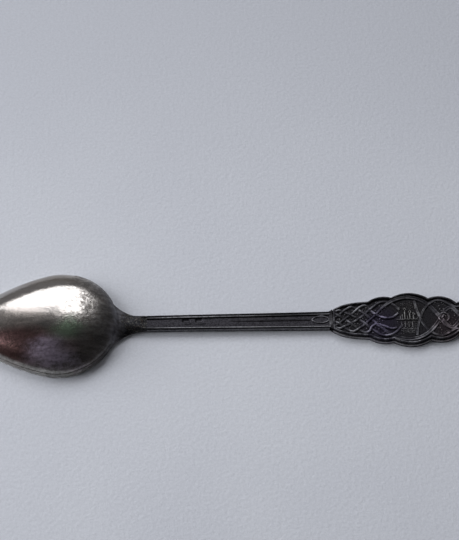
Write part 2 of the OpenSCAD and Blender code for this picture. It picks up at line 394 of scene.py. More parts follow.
# ---------------------------------------------------------------- stem
MARK_X = (STEM_X0 + 10.4, STEM_X0 + 13.8)
MARK_HALF = (0.75, 0.4)
MARK_Y = 0.35
MARK_DEPTH = 0.28
ALMOND_X1 = STEM_X1 - 0.2
ALMOND_X0 = ALMOND_X1 - 4.6
ALMOND_HALF = 1.0
ALMOND_POINTED = 1.35
ALMOND_WIRE_W = 0.55
ALMOND_WIRE_H = 0.3
ALMOND_SINK = 0.04
RIB_X0 = STEM_X0 + 17.6
RIB_W = 0.7
RIB_H = 0.16
RIB_SINK = 0.14


def stem_stations(count):
    return [mix(STEM_X0, STEM_X1, k / count) for k in range(count + 1)]


def build_stem_core(material):
    """The bar between the rails: channel floors above and below, upright sides."""
    across = 20
    rings = []
    for x in stem_stations(260):
        half = stem_half(x) - 0.02
        floor = stem_top(x) - RAIL_H
        base = stem_under(x) + RAIL_H
        ring = []
        for i in range(across + 1):
            s = 2 * i / across - 1
            mark = max(bump_at(x, m, MARK_HALF[0], 0.3) for m in MARK_X)
            mark *= bump_at(s * half, MARK_Y, MARK_HALF[1], 0.3)
            lip = max(bump_at(x, m + 0.35, MARK_HALF[0], 0.5) for m in MARK_X)
            lip *= bump_at(s * half, MARK_Y - 0.75, 0.1, 0.45)
            ring.append((x, s * half, floor - MARK_DEPTH * mark + 0.1 * lip + 0.05 * (1 - s * s)))
        ring += [(x, half, base), (x, -half, base)]
        rings.append(ring)
    builder = Builder()
    builder.loft(rings)
    builder.piece("stem_bar", ["stem_core"], "recess_metal", material, sharp=50)


def rail_section(half, low, high, side, crest):
    """Rail section from its foot on the outside, over its crest, to its foot in the channel."""
    outer = half
    if side > 0:
        bevel = [(0.0, 0.44), (0.52, 0.13), (0.86, 0.02)]
    else:
        bevel = [(0.0, 0.2), (0.14, 0.04), (0.2, 0.0)]
    inner = half - bevel[-1][0] - 0.3
    points = [(outer, low)] + [(outer - across, high - drop * crest) for across, drop in bevel]
    points += [(inner + 0.1, high), (inner + 0.03, high - 0.05 * crest),
               (inner, high - 0.16 * crest), (inner - 0.12, low + 0.04 * crest), (inner - 0.12, low)]
    return [(side * y, z) for y, z in points]


def build_stem_rails(name, node, back, material):
    builder = Builder()
    for side in (-1, 1):
        rings = []
        for x in stem_stations(80):
            if back:
                low, high, crest = stem_top(x) - RAIL_H - 0.1, stem_top(x), 1
            else:
                low, high, crest = stem_under(x) + RAIL_H + 0.1, stem_under(x), -1
            rings.append([(x, y, z) for y, z in rail_section(stem_half(x), low, high, side, crest)])
        builder.loft(rings)
    builder.piece(name, [node], "stem_metal", material, sharp=55)


def ribbon_section(width, height, groove, steps=8, foot=0.12):
    """Cross-section of a relief strand: (across, up) pairs from foot to foot over a rounded back."""
    points = [(-width / 2, -foot)]
    for i in range(steps + 1):
        s = 2 * i / steps - 1
        up = height * (1 - abs(s) ** 3.2) ** 0.55 - groove * math.exp(-(s / 0.3) ** 2)
        points.append((s * width / 2, up))
    points.append((width / 2, -foot))
    return points


def sweep(builder, path, sections, closed=False):
    """Skin over a strand: sections holds (across, level) pairs for each point of path."""
    rings = []
    count = len(path)
    for k, section in enumerate(sections):
        before = path[(k - 1) % count] if closed else path[max(k - 1, 0)]
        after = path[(k + 1) % count] if closed else path[min(k + 1, count - 1)]
        dx, dy = after[0] - before[0], after[1] - before[1]
        length = math.hypot(dx, dy) or 1.0
        nx, ny = -dy / length, dx / length
        x, y = path[k][0], path[k][1]
        rings.append([(x + nx * across, y + ny * across, level) for across, level in section])
    if closed:
        builder.torus(rings)
    else:
        builder.loft(rings)


def wire(builder, path, width, height, lifts=None, closed=False):
    """Sweeps an even wire along path, a list of (x, y, z of the ground under it)."""
    lifts = lifts or [0.0] * len(path)
    section = ribbon_section(width, height, 0.0)
    sections = [[(across, z + (rise + (lift if rise > 0 else 0.0))) for across, rise in section]
                for (_, _, z), lift in zip(path, lifts)]
    sweep(builder, path, sections, closed)


def build_ridge(material):
    """Low rib along the channel, which forks into the almond loop."""
    builder = Builder()
    steps = 60
    path = []
    for k in range(steps + 1):
        x = mix(RIB_X0, ALMOND_X0 + 0.3, k / steps)
        path.append((x, 0.0, stem_top(x) - RAIL_H))
    lifts = [-RIB_SINK * (1 - ease(2 * k / steps)) for k in range(steps + 1)]
    wire(builder, path, RIB_W, RIB_H, lifts)
    builder.piece("channel_rib", ["stem_back_ridge"], "stem_metal", material, sharp=60)


def build_almond(material):
    builder = Builder()
    steps = 80
    path = []
    for k in range(steps):
        turn = 2 * math.pi * k / steps
        x = mix(ALMOND_X0, ALMOND_X1, 0.5 - 0.5 * math.cos(turn))
        y = ALMOND_HALF * math.copysign(abs(math.sin(turn)) ** ALMOND_POINTED, math.sin(turn))
        path.append((x, y, stem_top(x) - RAIL_H - ALMOND_SINK))
    wire(builder, path, ALMOND_WIRE_W, ALMOND_WIRE_H, closed=True)
    builder.piece("almond_wire", ["almond_loop"], "relief_metal", material, sharp=60)


# ---------------------------------------------------------------- finial outline
INNER_X, INNER_R = END_X - 28.0, 6.9
MEDAL_X, MEDAL_R, MEDAL_SINK = END_X - 21.25, 9.0, 1.1
OUTER_X, OUTER_R = END_X - 13.4, 6.75
END_LOBE_X, END_LOBE_R = END_X - 6.1, 5.3
POINT_R = 2.8
TAPER_HALF = 5.6
TAPER_RATE = 3.3
COLLAR_T = 0.5
TAPER_X0 = STEM_X1 + COLLAR_T
TAPER_STEPS = 16
ARC_STEPS = 20
HALVINGS = 40


def taper_half(x):
    return mix(STEM_W_END / 2, TAPER_HALF, 1 - math.exp((STEM_X1 - x) / TAPER_RATE))


def circles_meet(a, b):
    """Upper crossing of two circles given as (x, y, radius)."""
    dx, dy = b[0] - a[0], b[1] - a[1]
    gap = math.hypot(dx, dy)
    along = (a[2] ** 2 - b[2] ** 2 + gap ** 2) / (2 * gap)
    aside = math.sqrt(max(0.0, a[2] ** 2 - along ** 2))
    return a[0] + (along * dx - aside * dy) / gap, a[1] + (along * dy + aside * dx) / gap


def finial_outline(inset):
    """Closed scalloped outline, drawn in by inset, always with the same number of points."""
    arcs = [(INNER_X, 0, INNER_R - inset), (MEDAL_X, -MEDAL_SINK, MEDAL_R - inset),
            (OUTER_X, 0, OUTER_R - inset), (END_LOBE_X, 0, END_LOBE_R - inset),
            (END_X - POINT_R, 0, POINT_R - inset)]
    low, high = INNER_X - INNER_R + inset + 0.01, INNER_X - 1
    for _ in range(HALVINGS):
        middle = (low + high) / 2
        circle_y = math.sqrt(max(0.0, arcs[0][2] ** 2 - (middle - INNER_X) ** 2))
        if circle_y < taper_half(middle) - inset:
            low = middle
        else:
            high = middle
    joint = (low, taper_half(low) - inset)
    start = TAPER_X0 + inset
    along = [start + (joint[0] - start) * (k / TAPER_STEPS) ** 1.5 for k in range(TAPER_STEPS)]
    upper = [(x, taper_half(x) - inset) for x in along]
    stops = [joint] + [circles_meet(arcs[k], arcs[k + 1]) for k in range(4)] + [(END_X - inset, 0)]
    for k, (cx, cy, r) in enumerate(arcs):
        a0 = math.atan2(stops[k][1] - cy, stops[k][0] - cx)
        a1 = math.atan2(stops[k + 1][1] - cy, stops[k + 1][0] - cx)
        for i in range(ARC_STEPS):
            a = mix(a0, a1, i / ARC_STEPS)
            upper.append((cx + r * math.cos(a), cy + r * math.sin(a)))
    return upper + [(END_X - inset, 0.0)] + [(x, -y) for x, y in reversed(upper)]


def build_collar(material):
    """Solid root of the finial, level with the border and dished in the middle."""
    builder = Builder()
    across, steps = 16, 6
    edge, dish = 0.1, 0.12
    rings = []
    for k in range(steps + 1):
        x = mix(STEM_X1 - 0.25, TAPER_X0 + 0.12, k / steps)
        half = taper_half(max(x, STEM_X1))
        ring = []
        for i in range(across + 1):
            s = 2 * i / across - 1
            fall = edge * abs(s) ** 12
            ring.append((x, s * half, FINIAL_T - fall - dish * (1 - abs(s) ** 4) - 0.02))
        ring += [(x, half, 0.1), (x, half - 0.1, 0.0), (x, 0.1 - half, 0.0), (x, -half, 0.1)]
        rings.append(ring)
    builder.loft(rings)
    builder.piece("collar_bar", ["collar"], "relief_metal", material, sharp=50)


def outline_rings(profile):
    """The outline at each (inset, level) of a profile."""
    return [[(x, y, level) for x, y in finial_outline(inset)] for inset, level in profile]


# The finial's edge is stepped: its lower half stands out by a narrow ledge
LEDGE_Z = 1.1
LEDGE_W = 0.28
RIM_W = 0.55
RIM_SOFT = 0.17


def build_plate(material):
    builder = Builder()
    builder.loft(outline_rings([
        (RIM_W + 0.05, PLATE_LOW), (0.0, PLATE_LOW), (0.0, LEDGE_Z - 0.05), (0.04, LEDGE_Z),
        (LEDGE_W, LEDGE_Z + 0.04), (LEDGE_W, PLATE_TOP), (RIM_W + 0.05, PLATE_TOP)]))
    builder.piece("finial_ground", ["finial_plate"], "recess_metal", material)


def build_border(name, node, foot, crest, outer, material):
    """Raised rim round one face, with a rounded crest; crest may be above or below foot."""
    up = 1 if crest > foot else -1
    soft = RIM_SOFT * up
    sunk = foot - 0.02 * up
    inner = RIM_W + outer
    builder = Builder()
    builder.torus(outline_rings([
        (outer, sunk), (outer, crest - soft), (outer + 0.05, crest - 0.3 * soft), (outer + 0.16, crest),
        (inner - 0.16, crest), (inner - 0.05, crest - 0.3 * soft), (inner, crest - soft),
        (inner + 0.1, sunk)]))
    builder.piece(name, [node], "relief_metal", material, sharp=50)


# ---------------------------------------------------------------- knotwork
def between(a, b, ta, tb, t):
    return a * ((tb - t) / (tb - ta)) + b * ((t - ta) / (tb - ta))


def spline(points, steps=14):
    """Catmull-Rom curve through 2-D points, spaced by the root of their distance."""
    pts = [Vector(p) for p in points]
    pts = [2 * pts[0] - pts[1], *pts, 2 * pts[-1] - pts[-2]]
    curve = []
    for k in range(1, len(pts) - 2):
        p0, p1, p2, p3 = pts[k - 1:k + 3]
        t0 = 0.0
        t1 = t0 + math.sqrt((p1 - p0).length)
        t2 = t1 + math.sqrt((p2 - p1).length)
        t3 = t2 + math.sqrt((p3 - p2).length)
        for i in range(steps):
            t = mix(t1, t2, i / steps)
            a1 = between(p0, p1, t0, t1, t)
            a2 = between(p1, p2, t1, t2, t)
            a3 = between(p2, p3, t2, t3, t)
            b1 = between(a1, a2, t0, t2, t)
            b2 = between(a2, a3, t1, t3, t)
            c = between(b1, b2, t1, t2, t)
            curve.append((c.x, c.y))
    curve.append((pts[-2].x, pts[-2].y))
    return curve


def flipped(points):
    return [(x, -y) for x, y in points]


# The plait has six strands, which cross the axis every PITCH and turn back near the border.
PITCH = 3.4
PLAIT_X = TAPER_X0 + 0.2
STRAND_H = 0.27
WEAVE_LIFT = 0.09
WEAVE_RUN = 12
WIDEN = 1.05
RIBBON = 1.4
CORD = 0.88
INNER_CORD = 0.92
OUTER_CORD = 0.85
RING_CORD = 0.6
RIBBON_GROOVE = 0.12
OUTER_GROOVE = 0.06


def turn_y(x):
    """How far from the axis a strand turns back at x."""
    return taper_half(x) - 1.5


def turn_at(k, side):
    """Three points of a strand's turn, k half-pitches after the plait's start, above or below the axis."""
    x = PLAIT_X + 0.5 * PITCH * k
    y = side * turn_y(x)
    return [(x - 1.1, y - 0.45 * side), (x, y), (x + 1.1, y - 0.45 * side)]


def near(centre, *places):
    """Points given as (distance along from centre, place across)."""
    return [(centre + along, across) for along, across in places]


def knot_strands():
    """Strands whose mirror images are added: medallion ribbon, inner lobe cord and outer lobe cord."""
    ribbon = [*near(TAPER_X0, (0.6, -0.6)), *near(PLAIT_X, (1.5, -1.15)), *turn_at(3, -1),
              *near(PLAIT_X, (3 * PITCH, 0.0)), *near(INNER_X, (-0.5, 3.05), (2.0, 4.85)),
              *near(MEDAL_X, (-2.3, 5.8), (0.0, 6.05), (2.7, 5.4), (5.0, 3.95), (6.8, 1.95), (8.2, 0.0)),
              *near(OUTER_X, (1.8, -2.2), (3.2, -2.9), (4.6, -1.8)),
              *near(END_LOBE_X, (-1.3, 0.0), (0.1, 1.55), (1.5, 1.35), (2.2, 0.0))]
    inner = [*near(TAPER_X0, (0.6, -1.5)), *turn_at(1, -1), *near(PLAIT_X, (2 * PITCH, 0.0)),
             *near(INNER_X, (-4.2, 2.3), (-2.3, 3.85), (-1.2, 4.6), (0.2, 4.9), (1.6, 4.6),
                   (3.0, 3.75), (4.2, 2.5))]
    outer = [*near(MEDAL_X, (1.5, -5.0), (1.7, -3.8), (2.45, -0.8), (3.0, 0.6), (3.55, 1.95)),
             *near(OUTER_X, (-3.1, 3.45), (-2.0, 4.4), (-0.6, 5.05), (0.8, 4.95), (2.5, 4.1),
                   (4.2, 3.2)),
             *near(END_LOBE_X, (-1.0, 3.45), (0.6, 3.6), (2.2, 2.85), (3.4, 1.5), (3.9, 0.0))]
    return ribbon, inner, outer


def ground_cords():
    """The two cords that leave the plait for the medallion's ground, each with its own end."""
    start = near(TAPER_X0, (0.8, -1.7)) + near(PLAIT_X, (1.9, -0.9), (PITCH, 0.2), (5.5, 1.85))
    upper = [*start, *turn_at(5, 1), *near(INNER_X, (-3.6, 2.5), (-2.2, 1.2), (-0.9, 0.48),
                                           (0.9, 0.14), (2.3, 0.42), (3.7, 1.5))]
    lower = [*flipped(start), *turn_at(5, -1), *near(INNER_X, (-3.6, -2.4), (-2.2, -1.5),
                                                    (-0.3, -2.1), (1.8, -2.9), (3.1, -2.65))]
    return upper, lower


def crossings(p, q, closed_p, closed_q):
    """Places where two polylines cross, as (index along p, index along q)."""
    a = np.array(p)
    b = np.array(q)
    a2 = np.roll(a, -1, 0)
    b2 = np.roll(b, -1, 0)
    if not closed_p:
        a, a2 = a[:-1], a2[:-1]
    if not closed_q:
        b, b2 = b[:-1], b2[:-1]
    u = (a2 - a)[:, None]
    v = (b2 - b)[None]
    w = b[None] - a[:, None]
    cross = u[..., 0] * v[..., 1] - u[..., 1] * v[..., 0]
    cross = np.where(abs(cross) < 1e-9, 1e-9, cross)
    s = (w[..., 0] * v[..., 1] - w[..., 1] * v[..., 0]) / cross
    t = (w[..., 0] * u[..., 1] - w[..., 1] * u[..., 0]) / cross
    found = np.argwhere((s >= 0) & (s < 1) & (t >= 0) & (t < 1))
    return [(int(i) + float(s[i, j]), int(j) + float(t[i, j])) for i, j in found]


def weave(paths, closed, amount):
    """Lift of every point of every path, so that each strand goes over and under by turns."""
    meetings = []
    for m in range(len(paths)):
        for n in range(m + 1, len(paths)):
            for i, j in crossings(paths[m], paths[n], closed[m], closed[n]):
                meetings.append(((m, i), (n, j)))
    along = [[] for _ in paths]
    for c, meeting in enumerate(meetings):
        for side, (strand_at, place) in enumerate(meeting):
            along[strand_at].append((place, c, side))
    for row in along:
        row.sort()
    over = {}
    for first in range(len(meetings)):
        if first in over:
            continue
        over[first] = 0
        queue = [first]
        while queue:
            c = queue.pop()
            for side, (strand_at, place) in enumerate(meetings[c]):
                row = along[strand_at]
                at = row.index((place, c, side))
                for step in (-1, 1):
                    if not 0 <= at + step < len(row):
                        continue
                    _, other, other_side = row[at + step]
                    if other not in over:
                        on_top = over[c] == side
                        over[other] = 1 - other_side if on_top else other_side
                        queue.append(other)
    lifts = []
    for path, loop, row in zip(paths, closed, along):
        knots = [(place, amount if over[c] == side else -amount) for place, c, side in row]
        if knots:
            (first, first_lift), (last, last_lift) = knots[0], knots[-1]
            if loop:
                knots = [(last - len(path), last_lift), *knots, (first + len(path), first_lift)]
            else:
                knots = [(first - WEAVE_RUN, 0.0), *knots, (last + WEAVE_RUN, 0.0)]
        lifts.append([eased(knots, k) for k in range(len(path))])
    return lifts


def eased(knots, k):
    """Value at k of a curve that eases from knot to knot, each (place, value); 0 outside them."""
    for (x0, v0), (x1, v1) in zip(knots, knots[1:]):
        if x0 <= k < x1:
            return mix(v0, v1, ease((k - x0) / (x1 - x0)))
    return 0.0


def ellipse(cx, cy, rx, ry, count=120):
    return [(cx + rx * math.cos(2 * math.pi * k / count), cy + ry * math.sin(2 * math.pi * k / count))
            for k in range(count)]


def widened(points):
    return [(x, WIDEN * y) for x, y in points]


def build_knotwork(material, front_material):
    halves = [spline(widened(points)) for points in knot_strands()]
    paths = [path for half in halves for path in (half, flipped(half))]
    paths += [spline(widened(points)) for points in ground_cords()]
    closed = [False] * len(paths)
    paths.append(ellipse(MEDAL_X + 9.0, 0.1, 1.35, 1.3, 80))
    closed.append(True)
    lifts = weave(paths, closed, WEAVE_LIFT)
    kinds = [("frame_ribbons", ["medallion_frame", "back_plait_lower"], (0, 1), RIBBON, RIBBON_GROOVE),
             ("inner_lobe_cords", ["inner_lobe_ring"], (2, 3), INNER_CORD, 0.0),
             ("outer_lobe_cords", ["outer_lobe_ring"], (4, 5), OUTER_CORD, OUTER_GROOVE),
             ("ground_cords", ["back_plait_upper"], (6, 7), CORD, 0.0),
             ("knot_ring", ["end_ring"], (8,), RING_CORD, 0.0)]
    for name, nodes, members, wide, groove in kinds:
        builder = Builder()
        for m in members:
            path = paths[m]
            share = [ease((x - INNER_X + 1) / 3.5) for x, _ in path]
            widths = [mix(CORD, wide, k) for k in share]
            grooves = [groove * k for k in share]
            sweep_strand(builder, path, lifts[m], widths, grooves, PLATE_TOP, closed=closed[m])
        builder.piece(name, nodes, "relief_metal", material, sharp=60)
    front = Builder()
    for m in (0, 1, 2, 3, 6, 7):
        path = [p for p in paths[m] if p[0] < INNER_X - 3]
        even_strand(front, path, CORD, PLATE_LOW, lifts[m], up=-1)
    front.piece("front_plait_strands", ["front_plait"], "relief_metal", front_material, sharp=60)


def sweep_strand(builder, path, lifts, widths, grooves, ground, up=1, closed=False):
    """Relief strand whose width and groove change along its path; up is -1 on the front face."""
    sections = []
    for _, lift, width, groove in zip(path, lifts, widths, grooves):
        section = ribbon_section(width, STRAND_H + lift, groove)
        sections.append([(across, ground + up * rise) for across, rise in section])
    sweep(builder, path, sections, closed)


def even_strand(builder, path, width, ground, lifts=None, up=1):
    """Relief strand of one width, without a groove."""
    count = len(path)
    sweep_strand(builder, path, lifts or [0.0] * count, [width] * count, [0.0] * count, ground, up)


# ---------------------------------------------------------------- medallion
def stroke(builder, x0, y0, x1, y1, width, height):
    """Straight relief stroke with rounded back, on the medallion's ground."""
    steps = 6
    points = [(mix(x0, x1, k / steps), mix(y0, y1, k / steps)) for k in range(steps + 1)]
    even_strand(builder, points, width, PLATE_TOP, [height - STRAND_H] * (steps + 1))


# the skyline: its ground line, then towers and pillars as (place along, height)
GROUND_Y = -0.35
TOWERS = ((-1.3, 2.7), (0.0, 2.0), (0.95, 1.3))
PILLARS = ((-2.5, 1.1), (-2.0, 1.5), (-0.65, 1.1))


def build_scene_relief(material):
    """A plain skyline: a wall with three towers under pitched roofs, a shore and ripples below."""
    builder = Builder()
    stroke(builder, MEDAL_X - 3.6, GROUND_Y, MEDAL_X + 2.0, GROUND_Y, 0.3, 0.2)
    for x, height in TOWERS:
        x += MEDAL_X
        top = GROUND_Y + height
        stroke(builder, x, GROUND_Y, x, top, 0.5, 0.31)
        for eave in (-0.4, 0.4):
            stroke(builder, x + eave, top, x, top + 0.8, 0.28, 0.3)
    for x, height in PILLARS:
        stroke(builder, MEDAL_X + x, GROUND_Y, MEDAL_X + x, GROUND_Y + height, 0.26, 0.18)
    for k in range(4):
        x = MEDAL_X - 2.3 + 0.95 * k
        stroke(builder, x, -1.0, x, -2.7, 0.26, 0.14)
    for k in range(3):
        y = -3.1 - 0.55 * k
        reach = 2.4 - 0.5 * k
        stroke(builder, MEDAL_X - 0.8 - reach, y, MEDAL_X - 0.8 + reach, y, 0.22, 0.12)

    def in_scene(x, y):
        inside = max(math.hypot(x - MEDAL_X, y + MEDAL_SINK), math.hypot(x - MEDAL_X, y - MEDAL_SINK))
        return inside <= MEDAL_R - 2.4 and not (-0.9 < y < 3.0 and x < MEDAL_X + 1.6)

    scatter(builder, 7, 900, (MEDAL_X - 3.4, MEDAL_X + 2.2), (-4.7, 5.0), in_scene, 0.42,
            (0.14, 0.22), (0.1, 0.2))
    builder.piece("skyline_relief", ["medallion_scene"], "relief_metal", material, sharp=50)


def scatter(builder, seed, tries, x_range, y_range, allowed, spacing, radii, heights):
    """Small beads at random places, spacing apart, wherever allowed(x, y) is true."""
    rng = random.Random(seed)
    placed = []
    for _ in range(tries):
        x = rng.uniform(*x_range)
        y = rng.uniform(*y_range)
        if not allowed(x, y):
            continue
        if any(math.hypot(x - px, y - py) < spacing for px, py in placed):
            continue
        placed.append((x, y))
        radius = rng.uniform(*radii)
        builder.dome(x, y, PLATE_TOP - 0.02, radius, rng.uniform(*heights))


def build_pebbles(material):
    """Fine pebbled ground between the strands of the lobes and the plait."""
    builder = Builder()
    lobes = ((INNER_X, INNER_R), (OUTER_X, OUTER_R), (END_LOBE_X, END_LOBE_R))

    def on_ground(x, y):
        if math.hypot(x - MEDAL_X, abs(y) + MEDAL_SINK) < MEDAL_R - 1.6:
            return False
        if any(math.hypot(x - cx, y) < r - 1.4 for cx, r in lobes):
            return True
        return x <= INNER_X and abs(y) <= taper_half(x) - 1.4

    scatter(builder, 11, 2200, (TAPER_X0 + 1.2, END_X - 3.5), (-MEDAL_R, MEDAL_R), on_ground, 0.46,
            (0.15, 0.27), (0.09, 0.2))
    builder.piece("ground_pebbles", [], "relief_metal", material, sharp=50)


FRONT_RING_W = 0.75
FRONT_INSET = 1.3


def build_front_faces(material):
    """Plain cartouche and lobe rings on the face that lies on the table."""
    cartouche = Builder()

    def lens(shrink, level):
        r = MEDAL_R - FRONT_INSET - shrink
        tip = math.acos(MEDAL_SINK / r)
        upper = [(MEDAL_X + r * math.sin(a), r * math.cos(a) - MEDAL_SINK, level)
                 for a in (mix(-tip, tip, k / 40) for k in range(40))]
        return upper + [(2 * MEDAL_X - x, -y, z) for x, y, z in upper]

    cartouche.loft([lens(0, PLATE_LOW + 0.02), lens(0, 0.1), lens(0.06, 0.03), lens(0.2, 0.0)])
    cartouche.piece("front_cartouche_plate", ["front_cartouche"], "relief_metal", material, sharp=50)
    rings = Builder()
    for x, r in ((INNER_X, INNER_R), (OUTER_X, OUTER_R)):
        path = [p for p in ellipse(x, 0, r - 1.35, r - 1.35, 140)
                if math.hypot(p[0] - MEDAL_X, abs(p[1]) + MEDAL_SINK) > MEDAL_R - 0.9]
        path.sort(key=lambda p, x=x: math.atan2(p[1], (p[0] - x) * (1 if x > MEDAL_X else -1)))
        even_strand(rings, path, FRONT_RING_W, PLATE_LOW, up=-1)
    rings.piece("front_ring_strands", ["front_lobe_rings"], "relief_metal", material, sharp=60)


# ---------------------------------------------------------------- materials
def tone(r, g, b):
    """Linear colour of a screen colour given in 0-255."""
    def line(c):
        c /= 255
        return c / 12.92 if c <= 0.04045 else ((c + 0.055) / 1.055) ** 2.4
    return line(r), line(g), line(b), 1.0


def add_node(tree, kind, inputs=None, **settings):
    """A shader node; an input takes either another node's socket or a plain value."""
    node = tree.nodes.new("ShaderNode" + kind)
    for key, value in settings.items():
        setattr(node, key, value)
    for key, value in (inputs or {}).items():
        feed(tree, node.inputs[key], value)
    return node


def feed(tree, socket, value):
    if isinstance(value, bpy.types.NodeSocket):
        tree.links.new(value, socket)
    else:
        socket.default_value = value


class Graph:
    """Short names for wiring one material's nodes. Places are in millimetres."""

    def __init__(self, name):
        self.material = bpy.data.materials.new(name)
        self.material.use_nodes = True
        self.tree = self.material.node_tree
        self.shader = self.tree.nodes["Principled BSDF"]
        coords = self.node("TexCoord")
        self.place = self.scaled(coords.outputs["Object"], 1 / MM)
        self.x, self.y, self.z = self.node("SeparateXYZ", {0: self.place}).outputs

    def node(self, kind, inputs=None, **settings):
        return add_node(self.tree, kind, inputs, **settings)

    def math(self, operation, a, b=0.0):
        return self.node("Math", {0: a, 1: b}, operation=operation).outputs[0]

    def plus(self, a, b):
        return self.math("ADD", a, b)

    def minus(self, a, b):
        return self.math("SUBTRACT", a, b)

    def times(self, a, b):
        return self.math("MULTIPLY", a, b)

    def swing(self, value, reach):
        """value, which lies about 0.5, as a swing of reach about 0."""
        return self.times(self.minus(value, 0.5), reach)

    def vector(self, operation, a, b):
        return self.node("VectorMath", {0: a, 1: b}, operation=operation).outputs["Vector"]

    def scaled(self, vector, scale):
        node = self.node("VectorMath", {0: vector, "Scale": scale}, operation="SCALE")
        return node.outputs["Vector"]

    def noise(self, scale, detail=4.0, rough=0.55, distortion=0.0, stretch=None):
        at = self.vector("MULTIPLY", self.place, stretch) if stretch else self.place
        inputs = {"Vector": at, "Scale": scale, "Detail": detail, "Roughness": rough,
                  "Distortion": distortion}
        return self.node("TexNoise", inputs).outputs[0]

    def cells(self, scale):
        return self.node("TexVoronoi", {"Vector": self.place, "Scale": scale}).outputs["Distance"]

    def fade(self, value, low, high, out_low=0.0, out_high=1.0):
        """Smooth step of value from low to high."""
        inputs = {"Value": value, "From Min": low, "From Max": high, "To Min": out_low,
                  "To Max": out_high}
        return self.node("MapRange", inputs, interpolation_type="SMOOTHSTEP").outputs[0]

    def blend(self, factor, a, b):
        """Mix of two colours."""
        return self.node("Mix", {"Factor": factor, 6: a, 7: b}, data_type="RGBA").outputs[2]

    def level(self, factor, a, b):
        """Mix of two numbers."""
        return self.node("Mix", {"Factor": factor, 2: a, 3: b}).outputs[0]

    def patch(self, x, y, half_x, half_y, soft, wobble):
        """Mask of an oval patch on the plan, 1 in its middle, with an edge moved by wobble."""
        away = self.vector("SUBTRACT", self.place, (x, y, 0))
        away = self.vector("MULTIPLY", away, (1 / half_x, 1 / half_y, 0))
        length = self.node("VectorMath", {0: away}, operation="LENGTH").outputs["Value"]
        return self.fade(self.plus(length, wobble), 1 + soft, 1 - soft)

    def openness(self, reach):
        """1 on open surface, towards 0 in crevices narrower than reach."""
        node = self.node("AmbientOcclusion", {"Distance": reach * MM}, samples=8)
        return node.outputs["AO"]

    def bump(self, height, distance, strength=1.0, normal=None):
        inputs = {"Strength": strength, "Distance": distance * MM, "Height": height}
        if normal:
            inputs["Normal"] = normal
        return self.node("Bump", inputs).outputs[0]

    def finish(self, colour, roughness, normal, metallic=1.0):
        for key, value in (("Base Color", colour), ("Roughness", roughness),
                           ("Metallic", metallic), ("Normal", normal)):
            feed(self.tree, self.shader.inputs[key], value)
        return self.material


# Stains of the bowl's back: place from its middle, half its length and width, softness of its edge,
# colour, roughness, strength. Reddish brown by the tip, green in the middle, purple grey low down.
BOWL_SPOTS = (
    (-10.5, -8.4, 11, 5.2, 0.45, (0.2, 0.105, 0.098), 0.22, 0.9),
    (-12.5, -6.2, 5, 1.6, 0.6, (0.25, 0.145, 0.14), 0.22, 0.7),
    (-10.0, -0.4, 9, 2.8, 0.6, (0.34, 0.3, 0.27), 0.3, 0.75),
    (-0.5, -10.2, 8, 3.6, 0.6, (0.46, 0.39, 0.5), 0.36, 0.8),
    (4.1, -4.6, 5.5, 2.8, 0.6, (0.16, 0.225, 0.15), 0.25, 0.85),
    (5.5, -9.0, 5, 2.2, 0.6, (0.15, 0.105, 0.07), 0.25, 0.6),
    (9.7, -8.3, 5, 5, 0.5, (0.10, 0.09, 0.09), 0.3, 0.8),
)


